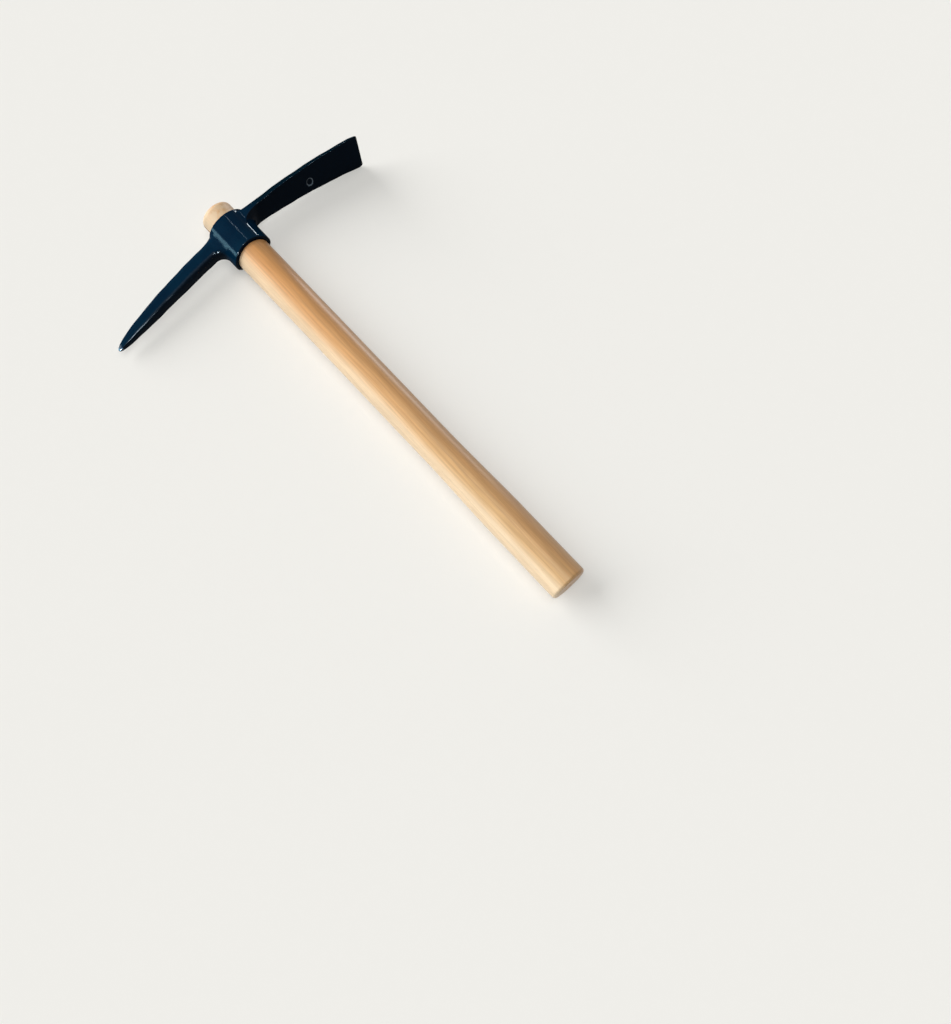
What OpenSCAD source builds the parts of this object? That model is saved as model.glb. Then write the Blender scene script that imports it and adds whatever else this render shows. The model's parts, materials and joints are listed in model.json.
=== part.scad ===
// Small pick axe: a forged head with a pick and an adze blade, wedged on a turned wooden handle.
// The tool lies on its side as it rests on a floor. +X runs along the handle to the grip end,
// +Y along the head to the blade, +Z up. The origin is under the middle of the box it fills.

/* [Handle] */
// Overall length of the handle
handle_l = 451; // [360:1:600]
// Diameter of the handle just below the head
neck_d = 31.2; // [27:0.1:36]
// How much thinner the handle is where it leaves the eye
eye_taper = 1.5; // [0.4:0.1:3]
// Diameter of the grip end
grip_d = 34.1; // [31:0.1:40]
// Length of the grip end that keeps its full diameter
grip_l = 70; // [40:1:110]
// Length over which the handle swells to the grip
swell_l = 90; // [40:1:130]
// Rounding of the top end
top_round = 5; // [1:0.1:9]
// Rounding of the grip end
butt_round = 3; // [1:0.1:8]

/* [Eye] */
// Length of the eye collar along the handle, at its cheeks
eye_l = 33.5; // [28:0.5:48]
// Height by which the handle stands out of the eye
proud = 17; // [8:0.5:26]
// Wall of the collar at its lower rim
collar_wall = 3.5; // [2:0.1:7]
// How much further the collar reaches down below the two arms
lug_l = 3.5; // [1:0.1:6]
// Chamfer of the collar's top rim
rim_cut = 1.2; // [0.4:0.1:2]
// Gap between pieces that are driven into each other
fit_gap = 0.05; // [0.03:0.01:0.15]

/* [Pick] */
// Reach of the pick from the handle's axis to its point
pick_reach = 142; // [110:1:220]
// Side of the pick's square section, carried back to the handle's axis
pick_side = 15.8; // [13:0.1:20]
// Height of the pick's middle line above the middle of the eye, at the handle's axis
pick_rise = 8.5; // [4:0.5:9]
// Drop of the point below the middle of the eye
pick_drop = 8.5; // [0:0.5:24]
// Fillet under the root of the pick
pick_fillet = 9; // [3:0.5:12]
// Fillet beside the root of the pick
pick_side_fillet = 4; // [1:0.5:6]

/* [Blade] */
// Reach of the blade from the handle's axis to its edge
blade_reach = 132; // [100:1:200]
// Width of the cutting edge
edge_w = 51.4; // [44:0.2:90]
// Width of the blade carried back to the handle's axis
blade_root_w = 23; // [18:0.5:28]
// Thickness of the middle of the blade, carried back to the handle's axis
blade_root_t = 9; // [6:0.1:9.4]
// Thickness of the sides of the blade, carried back to the handle's axis
blade_side_t = 5.4; // [4:0.1:6]
// Thickness of the blade where its edge bevel starts
blade_end_t = 1.8; // [1.4:0.1:4]
// Thickness left at the cutting edge
edge_t = 0.8; // [0.4:0.1:1.4]
// Length of the edge bevel
bevel_l = 7; // [3:0.5:14]
// Height of the underside above the middle of the eye, at the handle's axis
blade_rise = 6.9; // [2:0.1:7]
// Drop of the edge below the middle of the eye
blade_drop = 9.9; // [0:0.1:24]
// Rounding of the corners of the edge
corner_r = 2; // [0.5:0.1:5]
// Fillet beside the root of the blade
blade_fillet = 4.5; // [1:0.5:5]
// Fillet above and below the root of the blade
blade_face_fillet = 1; // [0.6:0.1:1.2]

/* [Wedges] */
// Length of the wooden wedge
wood_wedge_l = 38; // [24:1:46]
// Thickness of the wooden wedge at its head
wood_wedge_t = 4.2; // [2.5:0.1:6]
// Thickness of the wooden wedge at its point
wood_wedge_tip = 1.2; // [0.6:0.1:2]
// Length of a steel wedge
steel_wedge_l = 20; // [12:1:23]
// Width of a steel wedge
steel_wedge_w = 15; // [9:0.5:16]
// Thickness of a steel wedge at its head
steel_wedge_t = 2.8; // [1.6:0.1:4]
// Thickness of a steel wedge at its point
steel_wedge_tip = 0.8; // [0.4:0.1:1.4]
// Distance of a steel wedge from the handle's axis
steel_wedge_y = 5.5; // [4:0.1:6.5]

/* [Hidden] */
$fn = 96;
// How far a cut runs past what it cuts
overrun = 2;
// Depth by which an arm starts inside the collar's wall, and at which its fillet runs out
root_depth = 2;
root_sink = 0.5;
// Radii and places along the handle, measured from the middle of the eye
neck_r = neck_d / 2;
top_r = (neck_d - eye_taper) / 2;
grip_r = grip_d / 2;
collar_r = neck_r + fit_gap + collar_wall;
eye_top = -eye_l / 2;
eye_low = eye_l / 2 + lug_l;
top_x = eye_top - proud;
butt_x = top_x + handle_l;
swell_x = butt_x - grip_l - swell_l;
// The lower rim is cut by a cylinder across the handle that leaves the lugs longest
saddle_r = (collar_r * collar_r + lug_l * lug_l) / (2 * lug_l);
// How much of an arm's drop follows its bend instead of a straight slope
pick_bow_share = 0.55;
blade_bow_share = 1;
// Fullness of the pick's taper, where two is an ellipse
pick_full = 2.1;
// Chamfer of the pick's four edges, in shares of its side
pick_chamfer_share = 0.2;
// How much the blade's sides bow outwards, in shares of its widening
blade_flare_share = 0.08;
// Half width of the blade's thick middle, in shares of its half width
crown_share = 0.5;
// Steps of the rounded corners, fillets and long tapers
arc_step = 15;
swell_steps = 14;
fillet_steps = 7;
arm_steps = 16;
corner_steps = 4;
// Resting pose: the tool rolls about its handle until the blade's lower corner meets the floor
edge_arm = norm([blade_reach, edge_w / 2]);
rest_roll = atan2(edge_w / 2, blade_reach) - asin(collar_r / edge_arm);
mid_x = (top_x + butt_x) / 2;
blade_side_y = blade_reach * cos(rest_roll) + edge_w / 2 * sin(rest_roll);
mid_y = (blade_side_y - pick_reach * cos(rest_roll)) / 2;

function ease(t) = t * t * (3 - 2 * t);
function mix(a, b, t) = a + (b - a) * t;
// Drop of an arm's line towards the grip end at a share u of its reach
function arm_x(rise, drop, bow, u) = mix(-rise, drop, (1 - bow) * u + bow * u * u);
// Growth of a section at a distance q from the collar, for a round fillet of radius r
function flare(q, r) = r - sqrt(r * r - pow(r - min(max(q + root_sink, 0), r), 2));
// Distance from the handle's axis of a point at height z, wrapped on the collar near the root
function wrap(q, z, far) =
    collar_r + q - (collar_r - sqrt(max(0, collar_r * collar_r - z * z))) * (1 - ease(min(max(q / far, 0), 1)));

// Faces of a tube of rings with n points each, of its two end rings, and of a point past its last ring
function tube_faces(rings, n) =
    [for (i = [0 : rings - 2], j = [0 : n - 1])
        [i * n + j, (i + 1) * n + j, (i + 1) * n + (j + 1) % n, i * n + (j + 1) % n]];
function first_cap(n) = [[for (j = [0 : n - 1]) j]];
function last_cap(rings, n) = [[for (j = [n - 1 : -1 : 0]) (rings - 1) * n + j]];
function apex_faces(rings, n) =
    [for (j = [0 : n - 1]) [(rings - 1) * n + j, rings * n, (rings - 1) * n + (j + 1) % n]];

// Pose of the whole tool on the floor
module lay() {
    translate([-mid_x, -mid_y, collar_r])
        rotate([rest_roll, 0, 0])
            children();
}

// Turned shapes are drawn as radius and place along the handle
module turned(profile) {
    rotate([0, 90, 0])
        rotate_extrude()
            polygon(profile);
}

handle_profile = concat(
    [[0, top_x]],
    [for (a = [0 : arc_step : 90])
        [top_r - top_round * (1 - sin(a)), top_x + top_round * (1 - cos(a))]],
    [[top_r, eye_top], [neck_r, eye_low]],
    [for (i = [0 : swell_steps])
        [mix(neck_r, grip_r, ease(i / swell_steps)), swell_x + swell_l * i / swell_steps]],
    [for (a = [0 : arc_step : 90])
        [grip_r - butt_round * (1 - cos(a)), butt_x - butt_round * (1 - sin(a))]],
    [[0, butt_x]]
);

bore_profile = [
    [0, eye_top - overrun],
    [top_r + fit_gap, eye_top - overrun],
    [top_r + fit_gap, eye_top],
    [neck_r + fit_gap, eye_low],
    [neck_r + fit_gap, eye_low + overrun],
    [0, eye_low + overrun]
];

collar_profile = [
    [0, eye_top],
    [collar_r - rim_cut, eye_top],
    [collar_r, eye_top + rim_cut],
    [collar_r, eye_low],
    [0, eye_low]
];

// Round collar whose lower rim reaches furthest under the arms
module collar() {
    intersection() {
        turned(collar_profile);
        translate([eye_low - saddle_r, 0, 0])
            rotate([90, 0, 0])
                cylinder(r = saddle_r, h = 2 * (collar_r + overrun), center = true);
    }
}

// Distances of an arm's rings from the collar: close ones through the fillet, then out to the end
function root_steps(fillet) =
    concat([-root_depth], [for (i = [0 : fillet_steps - 1]) fillet * i / fillet_steps - root_sink]);

// One ring of the pick: a square with chamfered corners, wider and deeper near the collar
function pick_ring(q) =
    let (u = (collar_r + q) / pick_reach)
    let (half = pick_side / 2 * pow(1 - pow(u, pick_full), 1 / pick_full))
    let (middle = arm_x(pick_rise, pick_drop, pick_bow_share, u))
    let (cut = 2 * half * pick_chamfer_share)
    let (top = middle - half, low = middle + half + flare(q, pick_fillet))
    let (side = half + flare(q, pick_side_fillet))
    [for (p = [
        [top, cut - side], [top + cut, -side], [low - cut, -side], [low, cut - side],
        [low, side - cut], [low - cut, side], [top + cut, side], [top, side - cut]
    ]) [p[0], -wrap(q, p[1], pick_fillet), p[1]]];

module pick_arm() {
    reach = pick_reach - collar_r;
    run = reach - pick_fillet;
    steps = concat(
        root_steps(pick_fillet),
        [for (i = [0 : arm_steps - 1]) reach - run * pow(1 - i / arm_steps, 2)]
    );
    n = len(pick_ring(0));
    points = concat([for (q = steps) each pick_ring(q)], [[pick_drop, -pick_reach, 0]]);
    polyhedron(points, concat(tube_faces(len(steps), n), first_cap(n), apex_faces(len(steps), n)));
}

// One ring of the blade: flat underside, thick middle, thinner sides, inset at the rounded corners
function blade_ring(q, inset) =
    let (u = (collar_r + q) / blade_reach)
    let (grow = flare(q, blade_fillet), rise = flare(q, blade_face_fillet))
    let (spread = u * (1 + blade_flare_share * (1 - u)))
    let (half = mix(blade_root_w, edge_w, spread) / 2 - inset + grow)
    let (bevel = min(1, (1 - u) * blade_reach / bevel_l))
    let (middle_t = mix(edge_t, mix(blade_root_t, blade_end_t, u), bevel))
    let (side_t = mix(edge_t, mix(blade_side_t, blade_end_t, u), bevel))
    let (low = arm_x(blade_rise, blade_drop, blade_bow_share, u) + rise)
    let (top = low - middle_t - 2 * rise, shoulder = low - side_t - 2 * rise)
    [for (p = [
        [low, -half], [shoulder, -half], [top, -half * crown_share],
        [top, half * crown_share], [shoulder, half], [low, half]
    ]) [p[0], wrap(q, p[1], blade_fillet), p[1]]];

module blade_arm() {
    reach = blade_reach - collar_r;
    run = reach - blade_fillet - bevel_l;
    body_steps = concat(
        root_steps(blade_fillet),
        [for (i = [0 : arm_steps - 1]) blade_fillet + run * i / arm_steps],
        [reach - bevel_l]
    );
    turns = [for (i = [0 : corner_steps]) 90 * i / corner_steps];
    rings = concat(
        [for (q = body_steps) blade_ring(q, 0)],
        [for (a = turns) blade_ring(reach - corner_r * (1 - sin(a)), corner_r * (1 - cos(a)))]
    );
    n = len(rings[0]);
    points = [for (r = rings) each r];
    polyhedron(points, concat(tube_faces(len(rings), n), first_cap(n), last_cap(len(rings), n)));
}

// Tapering wedge that points towards the grip end, grown by a gap on every side and long at its head
module wedge(length, head_t, tip_t, width, gap) {
    half = head_t / 2 + gap;
    tip = tip_t / 2 + gap;
    translate([top_x, 0, 0])
        rotate([90, 0, 0])
            linear_extrude(width + 2 * gap, center = true)
                polygon([
                    [-overrun, half], [0, half], [length + gap, tip],
                    [length + gap, -tip], [0, -half], [-overrun, -half]
                ]);
}

module wood_wedge_blank(gap) {
    wedge(wood_wedge_l, wood_wedge_t, wood_wedge_tip, neck_d, gap);
}

// Steel wedge across the wooden one, on the side that the sign names
module steel_wedge(side, gap) {
    translate([0, side * steel_wedge_y, 0])
        rotate([90, 0, 0])
            wedge(steel_wedge_l, steel_wedge_t, steel_wedge_tip, steel_wedge_w, gap);
}

module steel_wedge_slots() {
    for (side = [-1, 1])
        steel_wedge(side, fit_gap);
}

// What a wedge leaves when it is dressed flush with the end of the handle
module flush() {
    intersection() {
        turned(handle_profile);
        children();
    }
}

module pick_head() {
    color([0.02, 0.07, 0.13])
        lay()
            difference() {
                union() {
                    collar();
                    pick_arm();
                    blade_arm();
                }
                turned(bore_profile);
            }
}

module handle() {
    color([0.85, 0.65, 0.43])
        lay()
            difference() {
                turned(handle_profile);
                wood_wedge_blank(fit_gap);
                steel_wedge_slots();
            }
}

module wooden_wedge() {
    color([0.62, 0.43, 0.25])
        lay()
            difference() {
                flush()
                    wood_wedge_blank(0);
                steel_wedge_slots();
            }
}

module pick_side_wedge() {
    color([0.55, 0.56, 0.58])
        lay()
            flush()
                steel_wedge(-1, 0);
}

module blade_side_wedge() {
    color([0.55, 0.56, 0.58])
        lay()
            flush()
                steel_wedge(1, 0);
}

pick_head();
handle();
wooden_wedge();
pick_side_wedge();
blade_side_wedge();
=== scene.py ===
"""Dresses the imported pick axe: a forged and enamelled head, a turned and varnished handle, its wedges,
and a pale studio around them. Lengths are in metres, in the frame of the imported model."""

import json
import math

import bmesh
import bpy
import numpy as np
from bpy.props import FloatProperty, FloatVectorProperty, IntProperty, PointerProperty
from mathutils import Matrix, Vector


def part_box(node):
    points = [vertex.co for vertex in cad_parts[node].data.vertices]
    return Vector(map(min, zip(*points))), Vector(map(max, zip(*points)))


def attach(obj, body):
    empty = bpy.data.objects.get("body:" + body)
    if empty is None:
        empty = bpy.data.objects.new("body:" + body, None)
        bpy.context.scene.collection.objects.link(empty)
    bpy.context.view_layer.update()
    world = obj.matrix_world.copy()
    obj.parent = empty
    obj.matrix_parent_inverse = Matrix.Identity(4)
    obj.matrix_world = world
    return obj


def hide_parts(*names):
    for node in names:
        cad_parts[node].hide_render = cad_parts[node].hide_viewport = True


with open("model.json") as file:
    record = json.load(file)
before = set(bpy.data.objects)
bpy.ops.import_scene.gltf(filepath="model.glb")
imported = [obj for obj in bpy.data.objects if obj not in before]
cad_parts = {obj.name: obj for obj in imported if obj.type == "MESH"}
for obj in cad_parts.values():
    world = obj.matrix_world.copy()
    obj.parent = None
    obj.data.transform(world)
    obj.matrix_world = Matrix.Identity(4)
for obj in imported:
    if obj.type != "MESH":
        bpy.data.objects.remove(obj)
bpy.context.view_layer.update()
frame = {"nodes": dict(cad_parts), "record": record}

bl_info = {
    "name": "Pick axe",
    "version": (1, 0, 0),
    "blender": (4, 5, 0),
    "location": "View3D > Sidebar > Pick axe",
    "description": "Builds the forged head, the turned handle, the wedges and a pale studio",
    "category": "Object",
}

BODY = "root"
GRIP = next(m for m in frame["record"]["mounts"] if m["name"] == "grip_end")
AXIS_Y, AXIS_Z = GRIP["pos_m"][1:]
GRIP_RADIUS = GRIP["dims"]["r_mm"] / 1000
HANDLE_TOP, HANDLE_BUTT = (corner.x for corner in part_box("handle"))
# The collar touches the floor, so its radius is the height of the handle's axis
COLLAR_RADIUS = AXIS_Z
# Points of a grid closer than this are one point
MERGE = 2e-6


def length(name, description, default):
    """A length that a user may change, in metres."""
    return FloatProperty(name=name, description=description, default=default, unit="LENGTH", precision=5)


def colour(name, description, default):
    """A linear colour that a user may change."""
    return FloatVectorProperty(
        name=name, description=description, default=default, subtype="COLOR", size=3, min=0, max=1
    )


class HeadSettings(bpy.types.PropertyGroup):
    """Sizes and colours of the forged head."""

    eye_length: length("Eye length", "Length of the collar along the handle, at its cheeks", 0.0335)
    lug: length("Lug", "How much further the collar reaches down below the arms", 0.0035)
    top_rim: length("Top rim", "Rounding of the collar's top rim", 0.0008)
    low_rim: length("Lower rim", "Rounding of the collar's lower rim", 0.0009)
    bore_rim: length("Bore rim", "Rounding of both ends of the bore", 0.0005)
    bore_top: length("Bore radius, top", "Radius of the bore at the top", 0.0149)
    bore_low: length("Bore radius, low", "Radius of the bore at the lower rim", 0.01565)
    pick_reach: length("Pick reach", "From the handle's axis to the point", 0.142)
    pick_side: length("Pick side", "Side of the square section, carried back to the axis", 0.0154)
    pick_rise: length("Pick rise", "Middle line above the middle of the eye, at the axis", 0.0077)
    pick_drop: length("Pick drop", "Point below the middle of the eye", 0.0085)
    pick_fillet: length("Pick fillet", "Fillet under the root of the pick", 0.009)
    pick_side_fillet: length("Pick side fillet", "Fillet beside the root of the pick", 0.0065)
    pick_top_rise: length("Pick top rise", "How far the top of the pick rises at its root", 0.0013)
    blade_reach: length("Blade reach", "From the handle's axis to the edge", 0.132)
    edge_width: length("Edge width", "Width of the cutting edge", 0.0514)
    blade_root_width: length("Blade root width", "Width carried back to the handle's axis", 0.0243)
    blade_middle: length("Blade middle", "Thickness of the middle, carried back to the axis", 0.009)
    blade_side: length("Blade side", "Thickness of the sides, carried back to the axis", 0.0054)
    blade_end: length("Blade end", "Thickness where the edge bevel starts", 0.0018)
    edge: length("Edge", "Thickness left at the cutting edge", 0.0008)
    bevel: length("Edge bevel", "Length of the edge bevel", 0.007)
    blade_rise: length("Blade rise", "Underside above the middle of the eye, at the axis", 0.0069)
    blade_drop: length("Blade drop", "Edge below the middle of the eye", 0.0099)
    blade_corner: length("Upper edge corner", "Rounding of the upper corner of the edge", 0.0025)
    blade_low_corner: length("Lower edge corner", "Rounding of the lower corner of the edge", 0.0045)
    blade_fillet: length("Blade fillet", "Fillet beside the root of the blade", 0.002)
    blade_low_fillet: length("Blade low fillet", "Fillet under the root of the blade", 0.009)
    blade_top_rise: length("Blade top rise", "How far the top of the blade rises at its root", 0.0003)
    shoulder: length("Shoulder", "Length over which the arms' tops rise to the collar", 0.013)
    blade_arris: length("Blade arris", "Rounding of the blade's long edges", 0.0005)
    waviness: length("Waviness", "Unevenness that the hammer left on the arms", 0.00012)
    mark_depth: length("Punch mark", "Depth of the plain oval punch mark", 0.0006)
    paint: colour("Enamel", "Dark blue enamel", (0.0007, 0.0168, 0.0385))
    paint_shade: colour("Enamel shade", "Deeper tone that clouds the enamel", (0.0005, 0.0122, 0.0315))
    # Painted shade: the faces that turn towards the grip end, away from the light, take this deepest tone
    painted_shade_under: colour("Enamel under", "Deepest tone, under the arms", (0.0008, 0.0045, 0.011))
    paint_blade: colour("Enamel on the blade", "Tone of the thin coat on the blade", (0.0006, 0.0085, 0.017))
    bare_steel: colour("Bare steel", "Steel where the enamel is worn off", (0.13, 0.16, 0.19))


class HandleSettings(bpy.types.PropertyGroup):
    """Sizes and colours of the turned handle."""

    neck_radius: length("Neck radius", "Radius just below the head", 0.0156)
    top_radius: length("Top radius", "Radius where the handle leaves the eye", 0.01485)
    proud: length("Proud end", "Height by which the handle stands out of the eye", 0.017)
    top_round: length("Top rounding", "Rounding of the top end", 0.005)
    grip_length: length("Grip length", "Length of the grip end that keeps its full radius", 0.07)
    swell_length: length("Swell length", "Length over which the handle swells to the grip", 0.09)
    butt_round: length("Butt rounding", "Rounding of the grip end", 0.003)
    lathe_mark: length("Lathe mark", "Depth of the lathe's centre mark in the grip end", 0.0008)
    waviness: length("Waviness", "Unevenness of the sanded surface", 0.00005)
    around: IntProperty(name="Points around", description="Points round the handle", default=144)
    warm: colour("Warm wood", "Wood near the head", (0.66, 0.315, 0.10))
    pale: colour("Pale wood", "Wood near the grip end", (0.60, 0.375, 0.165))
    # Late wood colour, also used for the painted shade along the side towards the blade
    late_wood_and_shade: colour("Late wood", "Darker lines of the growth rings", (0.42, 0.21, 0.08))
    # Painted light: this pale tone lightens the side towards the pick, where the light falls
    painted_light_side: colour("Sapwood", "Pale wood along the side towards the pick", (0.84, 0.66, 0.44))
    raw: colour("Raw wood", "Wood of the end that stands out of the eye", (0.67, 0.52, 0.34))


class WedgeSettings(bpy.types.PropertyGroup):
    """Sizes and colours of the three wedges and of the slots that they are driven into."""

    gap: length("Fit gap", "Gap between a wedge and its slot", 0.00005)
    wood_length: length("Wooden wedge length", "Length of the wooden wedge", 0.038)
    wood_head: length("Wooden wedge head", "Thickness of the wooden wedge at its head", 0.0042)
    wood_tip: length("Wooden wedge tip", "Thickness of the wooden wedge at its point", 0.0012)
    steel_length: length("Steel wedge length", "Length of a steel wedge", 0.02)
    steel_width: length("Steel wedge width", "Width of a steel wedge", 0.015)
    steel_head: length("Steel wedge head", "Thickness of a steel wedge at its head", 0.0028)
    steel_tip: length("Steel wedge tip", "Thickness of a steel wedge at its point", 0.0008)
    steel_place: length("Steel wedge place", "Distance of a steel wedge from the axis", 0.0055)
    wood: colour("Wedge wood", "Bare hardwood of the wooden wedge", (0.34, 0.17, 0.07))
    steel: colour("Wedge steel", "Bare mild steel", (0.36, 0.36, 0.37))
    rust: colour("Rust", "Thin rust on the steel", (0.16, 0.06, 0.025))


class StageSettings(bpy.types.PropertyGroup):
    """The photograph's camera, the pale floor and backdrop, and the even light."""

    camera_place: FloatVectorProperty(
        name="Camera",
        description="Place of the camera",
        default=(0.31066, -0.18537, 0.97049),
        subtype="XYZ",
        unit="LENGTH",
    )
    camera_turn: FloatVectorProperty(
        name="Camera turn",
        description="Turn of the camera",
        default=tuple(math.radians(a) for a in (14.8395, -0.3487, 47.4013)),
        subtype="EULER",
    )
    lens: FloatProperty(name="Lens", description="Focal length", default=42.1875, unit="CAMERA")
    sensor: FloatProperty(name="Sensor", description="Width of the sensor", default=36, unit="CAMERA")
    floor_radius: length("Floor radius", "Radius of the floor", 60)
    floor: colour("Floor", "Pale floor", (0.90, 0.888, 0.848))
    backdrop: colour("Backdrop", "Pale backdrop above the floor", (0.871, 0.863, 0.823))
    ambient: FloatProperty(name="Ambient", description="Strength of the even light", default=0.1)
    evenness: FloatProperty(
        name="Evenness", description="Share of the shadow that the floor hides", default=0.4, subtype="FACTOR"
    )


SETTINGS = {
    "pickaxe_head": HeadSettings,
    "pickaxe_handle": HandleSettings,
    "pickaxe_wedges": WedgeSettings,
    "pickaxe_stage": StageSettings,
}


def mix(a, b, t):
    """From a to b in a straight line as t runs from 0 to 1."""
    return a + (b - a) * t


def ease(t):
    """Smooth step from 0 to 1, level at both ends."""
    t = np.clip(t, 0, 1)
    return t * t * (3 - 2 * t)


def column(values):
    """A row of numbers as a column, so that it spreads over the points of a ring."""
    return np.asarray(values, float)[:, None]


def after(start, end, rows):
    """Even places from start to end, without the start."""
    return np.linspace(start, end, rows + 1)[1:]


def waves(table, a, b):
    """A sum of sines: each row of the table has the rates along a and b, the phase and the height."""
    return sum(height * np.sin(rate_a * a + rate_b * b + phase) for rate_a, rate_b, phase, height in table)


def joined(stretches):
    """Stretches of a profile, each with its places and its radii, put one after the other."""
    return [np.concatenate(values) for values in zip(*stretches)]


def grid_faces(rows, columns, start=0):
    """Four-sided faces of a grid that is closed along its columns."""
    i, j = np.meshgrid(np.arange(rows - 1), np.arange(columns), indexing="ij")
    right = (j + 1) % columns
    row, next_row = i * columns, (i + 1) * columns
    faces = np.stack([row + j, row + right, next_row + right, next_row + j], -1)
    return faces.reshape(-1, 4) + start


def roll_angle(head):
    """Roll of the lying tool about its handle: the blade's lower corner and the collar share the floor."""
    half = head.edge_width / 2
    return math.atan2(half, head.blade_reach) - math.asin(COLLAR_RADIUS / math.hypot(head.blade_reach, half))


def eye_middle(handle, head):
    """Place along X of the middle of the eye."""
    return HANDLE_TOP + handle.proud + head.eye_length / 2


def eye_place(scene):
    """Middle of the eye, on the handle's axis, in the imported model's frame."""
    return np.array([eye_middle(scene.pickaxe_handle, scene.pickaxe_head), AXIS_Y, AXIS_Z])


def rolled(points, angle):
    """Points turned by an angle about X."""
    x, y, z = points[..., 0], points[..., 1], points[..., 2]
    cos, sin = math.cos(angle), math.sin(angle)
    return np.stack([x, y * cos - z * sin, y * sin + z * cos], -1)


def lay(points, scene):
    """From the tool's own frame to the floor: a roll about the handle's axis, then a shift to its place."""
    return rolled(points, roll_angle(scene.pickaxe_head)) + eye_place(scene)


def stand(points, scene):
    """From the floor back to the tool's own frame, the reverse of lay."""
    return rolled(points - eye_place(scene), -roll_angle(scene.pickaxe_head))


def new_piece(name, grids, scene):
    """One closed object from grids of points that share their borders, in the tool's frame."""
    points, faces, start = [], [], 0
    for grid in grids:
        rows, columns = grid.shape[:2]
        points.append(grid.reshape(-1, 3))
        faces.append(grid_faces(rows, columns, start))
        start += rows * columns
    mesh = bpy.data.meshes.new(name)
    mesh.from_pydata(lay(np.concatenate(points), scene), [], np.concatenate(faces).tolist())
    made = bmesh.new()
    made.from_mesh(mesh)
    bmesh.ops.remove_doubles(made, verts=made.verts, dist=MERGE)
    bmesh.ops.dissolve_degenerate(made, edges=made.edges, dist=MERGE)
    bmesh.ops.recalc_face_normals(made, faces=made.faces)
    made.to_mesh(mesh)
    made.free()
    mesh.shade_smooth()
    piece = bpy.data.objects.new(name, mesh)
    scene.collection.objects.link(piece)
    return piece


def mesh_points(mesh):
    """The mesh's points as one array."""
    points = np.empty(len(mesh.vertices) * 3, np.float32)
    mesh.vertices.foreach_get("co", points)
    return points.reshape(-1, 3).astype(float)


def point_values(mesh, name, values):
    """Keeps one number for each point under a name that a material can read."""
    layer = mesh.attributes.new(name, "FLOAT", "POINT")
    layer.data.foreach_set("value", np.asarray(values, np.float32))


# Head

# Points along a face and along a side of a section, and the share of each that is flat
FACE_STEPS, SIDE_STEPS = 96, 24
FACE_FLAT_SHARE, SIDE_FLAT_SHARE = 0.74, 0.5
FILLET_ROWS, COLLAR_ROWS, ARM_ROWS, END_ROWS, MARK_ROWS, RIM_ROWS, BORE_ROWS = 26, 14, 84, 8, 30, 6, 8
# Rows on the collar crowd towards the arm by this power
COLLAR_CROWDING = 1.25
# Power of the ellipse that the pick narrows by, share of bend in its line, and its rounding in half sides
PICK_FULLNESS, PICK_BOW_SHARE, PICK_ARRIS_SHARE = 2.45, 0.55, 0.6
# Bow of the blade's sides, how far they rise with the shoulder, and their most rounding in thicknesses
BLADE_FLARE_SHARE, BLADE_SIDE_SHARE, BLADE_ARRIS_SHARE = 0.08, 0.5, 0.45
# Power by which the blade's crowned top falls to its sides
BLADE_CROWN_POWER = 1.5
# Waves that the hammer left, which start at this many collar radii from the handle's axis
WAVES_START = 1.1
FACE_WAVES = ((170, 90, 0, 1), (391, -140, 1, 0.6))
SIDE_WAVES = ((238, 60, 2, 2 / 3), (527, 0, 0, 1 / 3))
# Middle and half size of the plain punch mark, along the blade and across it
MARK_PLACE, MARK_HALF = (0.0815, -0.0045), (0.003, 0.0062)
# In half sizes from the mark's middle: reach of the fine rows, end of its wall, and the wall's width
MARK_REACH, MARK_WALL_END, MARK_WALL = 1.3, 1.1, 0.25
# The underside at the mark lies past this place along the handle, the top before it
MARK_UNDERSIDE = -0.0025
# Ring of the mark where the enamel is most worn, how much it is there, and how fast that fades beside it
WORN_RING, WORN_RING_SHARE, WORN_RING_FADE = 0.95, 1.05, 2.2
# Length of the pick's point over which the enamel is worn
WORN_POINT = 0.016


def ring_square():
    """The walk round a square from -1 to 1: low face, upper side, top face and lower side."""
    face = np.linspace(-1, 1, FACE_STEPS, endpoint=False)
    side = np.linspace(-1, 1, SIDE_STEPS, endpoint=False)
    across = np.concatenate([np.ones(FACE_STEPS), -side, -np.ones(FACE_STEPS), side])
    up = np.concatenate([face, np.ones(SIDE_STEPS), -face, -np.ones(SIDE_STEPS)])
    return across, up


def rounded_section(top, low, half, radius):
    """A rounded rectangle in each row, from top to low along the handle and from -half to half in height.

    Each side of the walked square is straight in its flat share, with an eighth of a circle at each end."""
    across, up = ring_square()
    on_face = np.abs(across) >= np.abs(up)
    along = np.where(on_face, up, across)
    outward = np.sign(np.where(on_face, across, up))
    flat = np.where(on_face, FACE_FLAT_SHARE, SIDE_FLAT_SHARE)
    turn = np.clip((np.abs(along) - flat) / (1 - flat), 0, 1) * math.pi / 4
    deep = (low - top) / 2
    length_half = np.where(on_face, half, deep)
    width_half = np.where(on_face, deep, half)
    run = np.clip(np.abs(along) / flat, 0, 1) * (length_half - radius)
    straight = np.sign(along) * (run + radius * np.sin(turn))
    out = outward * (width_half - radius + radius * np.cos(turn))
    x = (low + top) / 2 + np.where(on_face, out, straight)
    z = np.where(on_face, straight, out)
    return x, z


def flare(q, radius):
    """Growth of a section at the distance q from the collar, in a quarter circle of that radius."""
    return radius - np.sqrt(np.maximum(radius**2 - (radius - np.clip(q, 0, radius)) ** 2, 0))


def wrap(q, z, far):
    """Distance from the handle's axis at height z: on the collar's round near it, flat across beyond far."""
    sag = COLLAR_RADIUS - np.sqrt(np.maximum(COLLAR_RADIUS**2 - z**2, 0))
    return COLLAR_RADIUS + q - sag * (1 - ease(q / far))


def low_rim(head, z):
    """Lower rim of the collar at height z, an arc across the handle that reaches furthest under the arms."""
    radius = (COLLAR_RADIUS**2 + head.lug**2) / (2 * head.lug)
    return head.eye_length / 2 + head.lug - radius + np.sqrt(radius**2 - z**2)


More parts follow.
